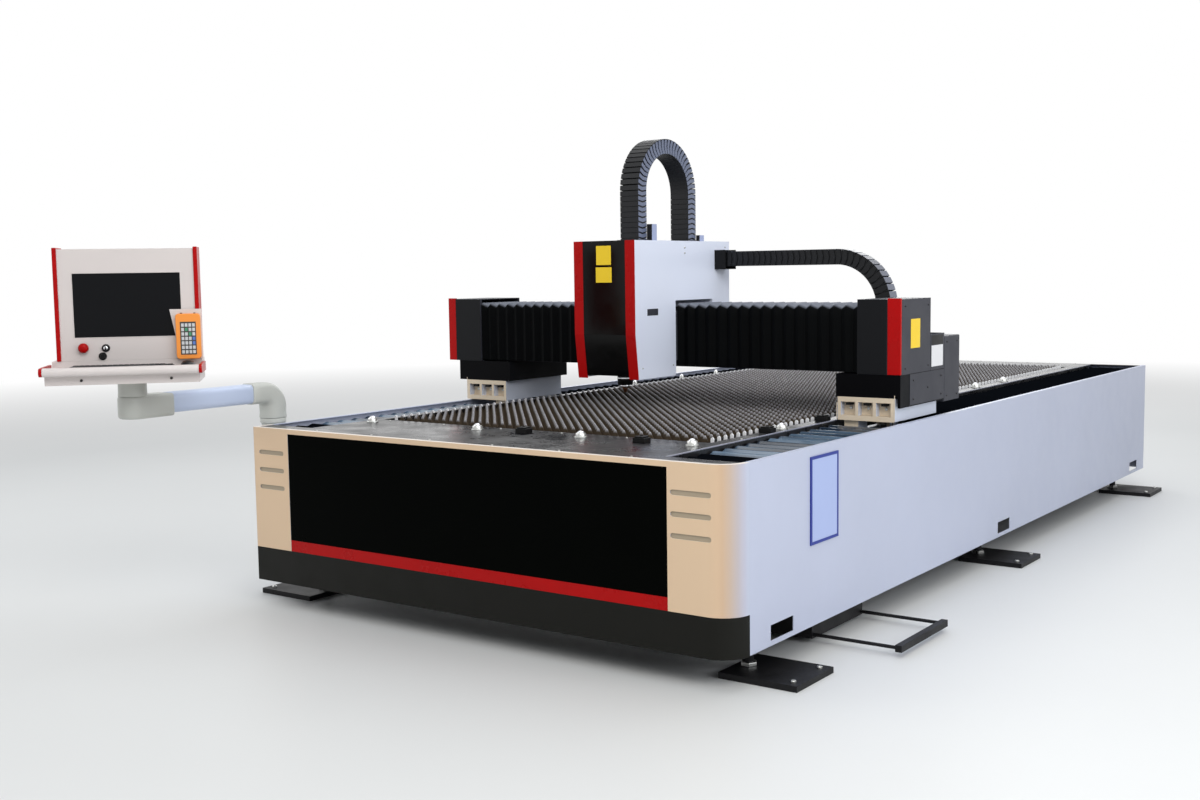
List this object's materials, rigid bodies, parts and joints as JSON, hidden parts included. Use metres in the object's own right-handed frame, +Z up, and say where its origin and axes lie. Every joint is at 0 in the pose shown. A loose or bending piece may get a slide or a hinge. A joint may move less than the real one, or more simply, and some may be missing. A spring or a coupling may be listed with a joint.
{
  "type": "flat-bed fibre laser cutting machine",
  "caption": "Open flat-bed laser cutting machine with a toothed slat table, a travelling gantry with bellows and cable chains, and an operator console on a swinging arm.",
  "frame": {"origin": "bottom centre of the bounding box, on the floor", "axes": "+X to the right of the front cover, +Y along the bed from the front to the rear, +Z up"},
  "size_m": [2.9893, 6.217, 2.043],
  "materials": {
    "off_white": "satin powder coat",
    "white": "satin powder coat",
    "gloss_black": "high gloss",
    "red": "gloss",
    "charcoal": "fine texture",
    "black_steel": "matt",
    "grey": "satin",
    "slat_steel": "worn and heat tinted",
    "bright_steel": "ground",
    "rubber_black": "matt",
    "screen_glass": "glossy screen, switched off",
    "blue": "semi gloss",
    "paper": "blank sheet",
    "cast_grey": "painted casting",
    "orange": "moulded",
    "copper": "turned copper"
  },
  "bodies": {
    "bed": {"front_cover": "off_white", "plinth": "charcoal", "front_panel": "gloss_black", "front_stripe": "red", "right_side_cover": "white", "left_side_cover": "white", "rear_cover": "white", "bed_frame": "black_steel", "slag_chute": "black_steel", "right_rail_and_rack": "bright_steel", "left_rail_and_rack": "bright_steel", "deck_plate": "gloss_black", "slat_table": "slat_steel", "right_way_cover_front": "rubber_black", "right_way_cover_rear": "rubber_black", "left_way_cover_front": "rubber_black", "left_way_cover_rear": "rubber_black", "sheet_holder": "blue", "blank_sheet": "paper", "arm_post": "cast_grey"},
    "drawer": {"slag_drawer": "black_steel"},
    "gantry": {"right_saddle": "off_white", "left_saddle": "off_white", "right_gantry_base": "charcoal", "left_gantry_base": "charcoal", "right_end_cover": "charcoal", "left_end_cover": "charcoal", "right_end_trim": "red", "left_end_trim": "red", "gantry_beam": "grey", "rear_drive_box": "grey", "right_bellows": "rubber_black", "left_bellows": "rubber_black", "beam_chain": "rubber_black", "chain_tray": "grey"},
    "pinion_right": {"right_pinion": "bright_steel"},
    "pinion_left": {"left_pinion": "bright_steel"},
    "carriage": {"carriage_plate": "grey", "head_cover": "white", "head_strip_left": "red", "head_strip_right": "red", "head_front_panel": "gloss_black", "head_chain": "rubber_black"},
    "cutting_slide": {"cutting_head": "charcoal", "nozzle": "copper"},
    "arm": {"arm_elbow": "cast_grey", "arm_tube": "white", "arm_knuckle": "cast_grey"},
    "console": {"console_box": "off_white", "console_screen": "screen_glass", "console_left_strip": "red", "console_right_strip": "red", "keyboard_shelf": "off_white", "keyboard": "charcoal", "mouse": "rubber_black", "remote_plate": "white", "remote_control": "orange"},
    "stop": {"stop_button": "red"},
    "selector": {"selector_switch": "bright_steel"},
    "start": {"start_button": "rubber_black"}
  },
  "joints": [
    {"name": "gantry_travel", "type": "slide", "parent": "bed", "child": "gantry", "axis": [0, 1, 0], "range_m": [-0.75, 3.1], "deforming": ["right_way_cover_front", "right_way_cover_rear", "left_way_cover_front", "left_way_cover_rear"]},
    {"name": "carriage_travel", "type": "slide", "parent": "gantry", "child": "carriage", "axis": [1, 0, 0], "range_m": [-0.74, 0.78], "deforming": ["right_bellows", "left_bellows", "beam_chain"]},
    {"name": "z_travel", "type": "slide", "parent": "carriage", "child": "cutting_slide", "axis": [0, 0, 1], "range_m": [-0.06, 0.05], "deforming": ["head_chain"]},
    {"name": "pinion_right_turn", "type": "hinge", "parent": "gantry", "child": "pinion_right", "pos_m": [1.07472, -0.52001, 0.7063], "axis": [0, 0, 1], "continuous": true},
    {"name": "pinion_left_turn", "type": "hinge", "parent": "gantry", "child": "pinion_left", "pos_m": [-1.09188, -0.52001, 0.7063], "axis": [0, 0, 1], "continuous": true},
    {"name": "drawer_pull", "type": "slide", "parent": "bed", "child": "drawer", "axis": [1, 0, 0], "range_m": [0, 0.75]},
    {"name": "arm_swing", "type": "hinge", "parent": "bed", "child": "arm", "pos_m": [-1.29158, -1.94001, 0.8], "axis": [0, 0, 1], "range_deg": [-75, 45]},
    {"name": "console_turn", "type": "hinge", "parent": "arm", "child": "console", "pos_m": [-1.29158, -2.66601, 1], "axis": [0, 0, 1], "range_deg": [-90, 90]},
    {"name": "stop_press", "type": "slide", "parent": "console", "child": "stop", "axis": [-0.7431, 0.6691, 0], "range_m": [0, 0.006], "stiffness_N_per_m": 800},
    {"name": "selector_turn", "type": "hinge", "parent": "console", "child": "selector", "pos_m": [-1.27147, -2.79312, 1.157], "axis": [-0.7431, 0.6691, 0], "range_deg": [-45, 45]},
    {"name": "start_turn", "type": "hinge", "parent": "console", "child": "start", "pos_m": [-1.28017, -2.80278, 1.125], "axis": [-0.7431, 0.6691, 0], "range_deg": [-45, 45]}
  ],
  "couplings": [
    {"joint": "pinion_right_turn", "follows": "gantry_travel", "rad_per_m": 31.25},
    {"joint": "pinion_left_turn", "follows": "gantry_travel", "rad_per_m": -31.25}
  ]
}
